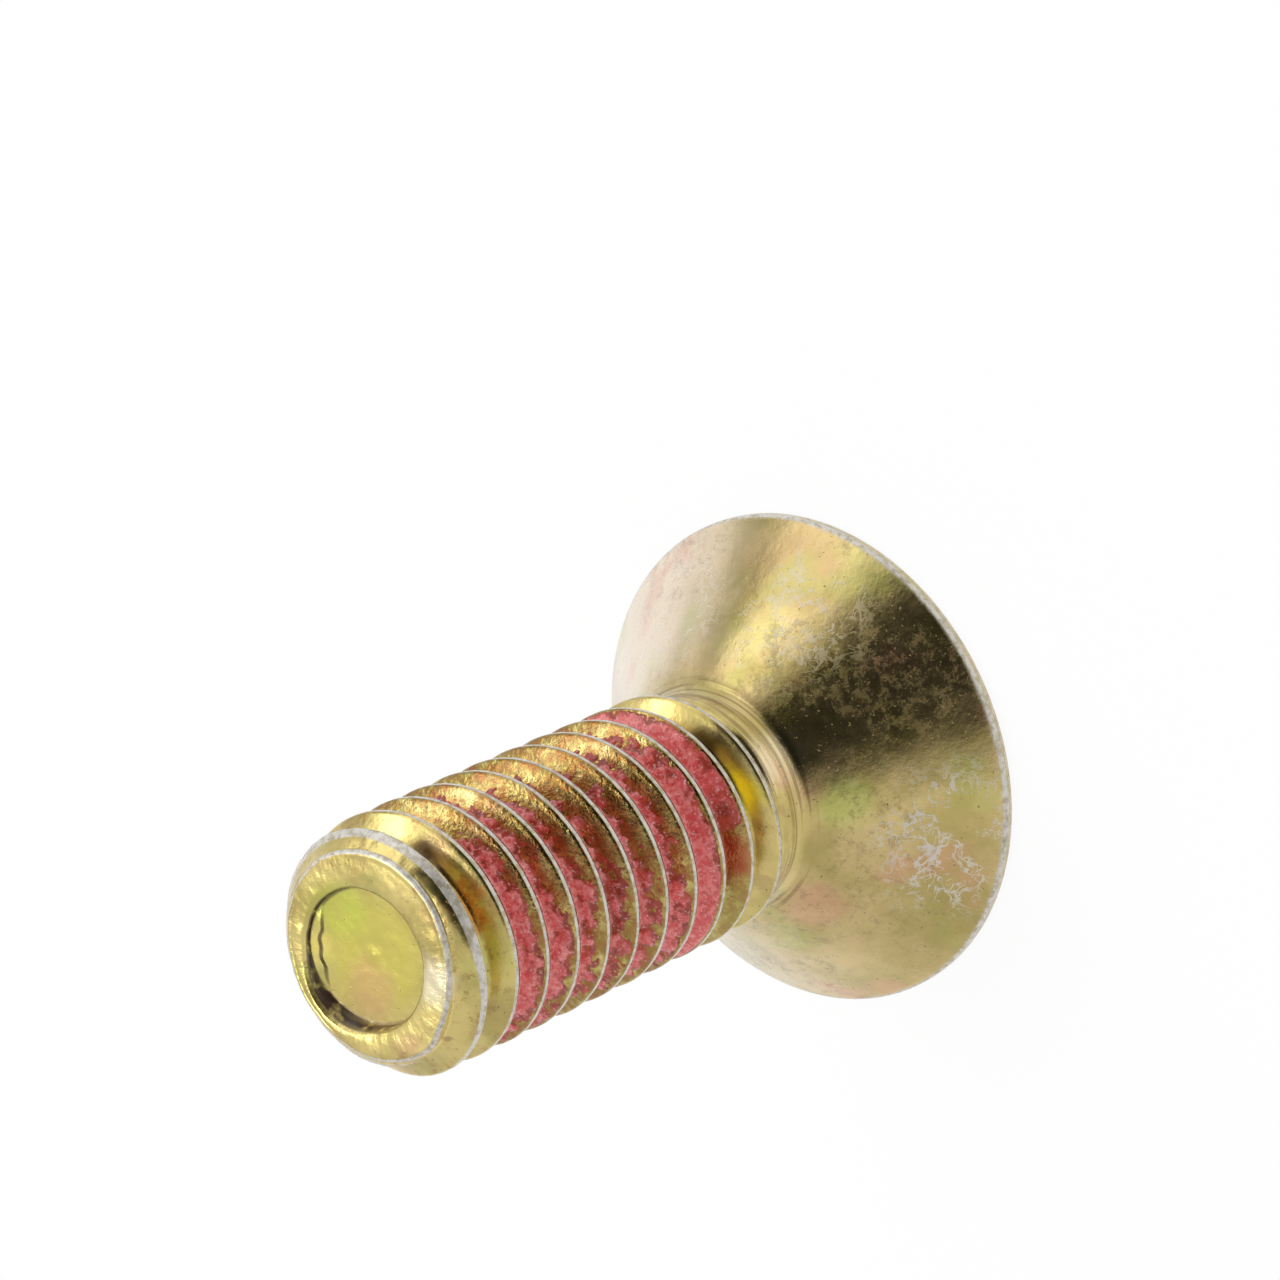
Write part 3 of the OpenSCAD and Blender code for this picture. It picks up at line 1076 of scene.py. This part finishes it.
# %% [markdown]
# ## A card round the screw
#
# The card is a patch of a dome round the screw, and the camera doesn't see it. Its level of light
# changes over it, as in a real room. Its dark part gives the cone a black sector, and ends sharply
# on one side and softly on the other. The light box beside it draws the bright band, a grey strip
# next to the box sets the band off, and a small bright spark lights the upper flanks of the thread.
# Several lamps and boards would do too, but one card is easier to shift. All places on it are
# angles in degrees.

# %% Card of the studio
CARD_RADIUS = 0.3


def dome_card(name, azimuths, heights, level):
    """A dome patch round the origin; azimuth 0 is -Y, 90 is +X, and heights are angles too."""
    across = np.linspace(*azimuths, 60)
    up = np.linspace(*heights, 36)
    turn, lift = np.meshgrid(np.radians(across), np.radians(up))
    places = CARD_RADIUS * np.stack([np.cos(lift) * np.sin(turn), -np.cos(lift) * np.cos(turn),
                                     np.sin(lift)], axis=-1).reshape(-1, 3)
    wide = len(across)
    faces = [(j * wide + i, j * wide + i + 1, j * wide + i + wide + 1, j * wide + i + wide)
             for j in range(len(up) - 1) for i in range(wide - 1)]
    mesh = bpy.data.meshes.new(name)
    mesh.from_pydata(places.tolist(), [], faces)
    card = bpy.data.objects.new(name, mesh)
    bpy.context.scene.collection.objects.link(card)
    set_numbers(card, "level", level(np.degrees(turn), np.degrees(lift)).ravel())
    f = Finish(name)
    grey = f.flow(0, "ShaderNodeCombineColor", {}, [f.numbers("level")] * 3)
    f.set(Base_Color=(0, 0, 0, 1), Roughness=1.0, Specular_IOR_Level=0.0, Emission_Color=grey,
          Emission_Strength=1.0)
    card.data.materials.append(f.material)
    card.visible_camera = False
    return card


def dark_side(azimuth, lift):
    """Dark from the left edge, softly, to the right edge, sharply, and paler at the top."""
    right = smooth_step(64, 52, azimuth - 0.55 * (lift - 35))
    left = smooth_step(-52, -8, azimuth + 0.4 * (lift - 40))
    low = smooth_step(6, 26, lift + 0.25 * azimuth)
    high = 1 - 0.7 * smooth_step(62, 76, lift - 0.1 * azimuth)
    return 1 - 0.985 * right * left * low * high


def soft_patch(azimuth, lift, azimuths, heights, edge):
    inside = smooth_step(azimuths[0], azimuths[0] + edge, azimuth)
    inside *= smooth_step(azimuths[1], azimuths[1] - edge, azimuth)
    inside *= smooth_step(heights[0], heights[0] + edge, lift)
    return inside * smooth_step(heights[1], heights[1] - edge, lift)


def side_of_room(azimuth, lift):
    """The dark side, with the light box and the grey strip to the right of it."""
    box = soft_patch(azimuth, lift, (66, 104), (6, 42), 9)
    strip = soft_patch(azimuth, lift, (97, 121), (-2, 32), 8)
    spark = soft_patch(azimuth, lift, (98, 126), (34, 56), 6)
    return (dark_side(azimuth, lift) + 0.9 * box) * (1 - 0.45 * strip) + 3.5 * spark


card = dome_card("side_of_room", (-60, 126), (1, 80), side_of_room)
print("Points on the card:", len(card.data.vertices))

# %% [markdown]
# ## One soft lamp
#
# A single broad lamp high above the screw lifts the pale colours a little. Most of the light comes
# from the white room, so the shadow on the floor stays faint.

# %% Lamp
def lamp(name, place, size, watts, aim=(0, 0, 0.008)):
    data = bpy.data.lights.new(name, "AREA")
    data.shape = "RECTANGLE"
    data.size, data.size_y = size
    data.energy = watts
    light = bpy.data.objects.new(name, data)
    light.location = place
    light.rotation_euler = (Vector(aim) - Vector(place)).to_track_quat("-Z", "Y").to_euler()
    bpy.context.scene.collection.objects.link(light)
    return light


LAMP_WATTS = 0.3
lamp("top_box", (0.06, 0.04, 0.27), (0.12, 0.12), LAMP_WATTS)
print("Lamp:", LAMP_WATTS, "W")

# %% [markdown]
# ## The camera
#
# The camera looks down on the screw from about 45 degrees, with a long lens. It is rolled, so that
# the standing screw lies across the picture with its tip towards the lower left.

# %% Camera
CAMERA_PLACE = Vector((0, -82.09, 86.90)) * MM
CAMERA_RIGHT = Vector((-0.41442817, -0.63778896, -0.6492107))
CAMERA_UP = Vector((0.90940379, -0.31775158, -0.26836295))
SENSOR_MM = 36.0
LENS_MM = 141.07
camera_data = bpy.data.cameras.new("camera")
camera_data.sensor_width = SENSOR_MM
camera_data.lens = LENS_MM
camera_data.clip_start = 0.001
camera = bpy.data.objects.new("camera", camera_data)
bpy.context.scene.collection.objects.link(camera)
back = CAMERA_RIGHT.cross(CAMERA_UP).normalized()
up = back.cross(CAMERA_RIGHT).normalized()
right = up.cross(back)
turn = Matrix((right, up, back)).transposed().to_4x4()
camera.matrix_world = Matrix.Translation(CAMERA_PLACE) @ turn
bpy.context.scene.camera = camera
bpy.context.scene.view_settings.view_transform = "Standard"
print("Camera at", round(CAMERA_PLACE.length / MM), "mm from the origin")

# %% [markdown]
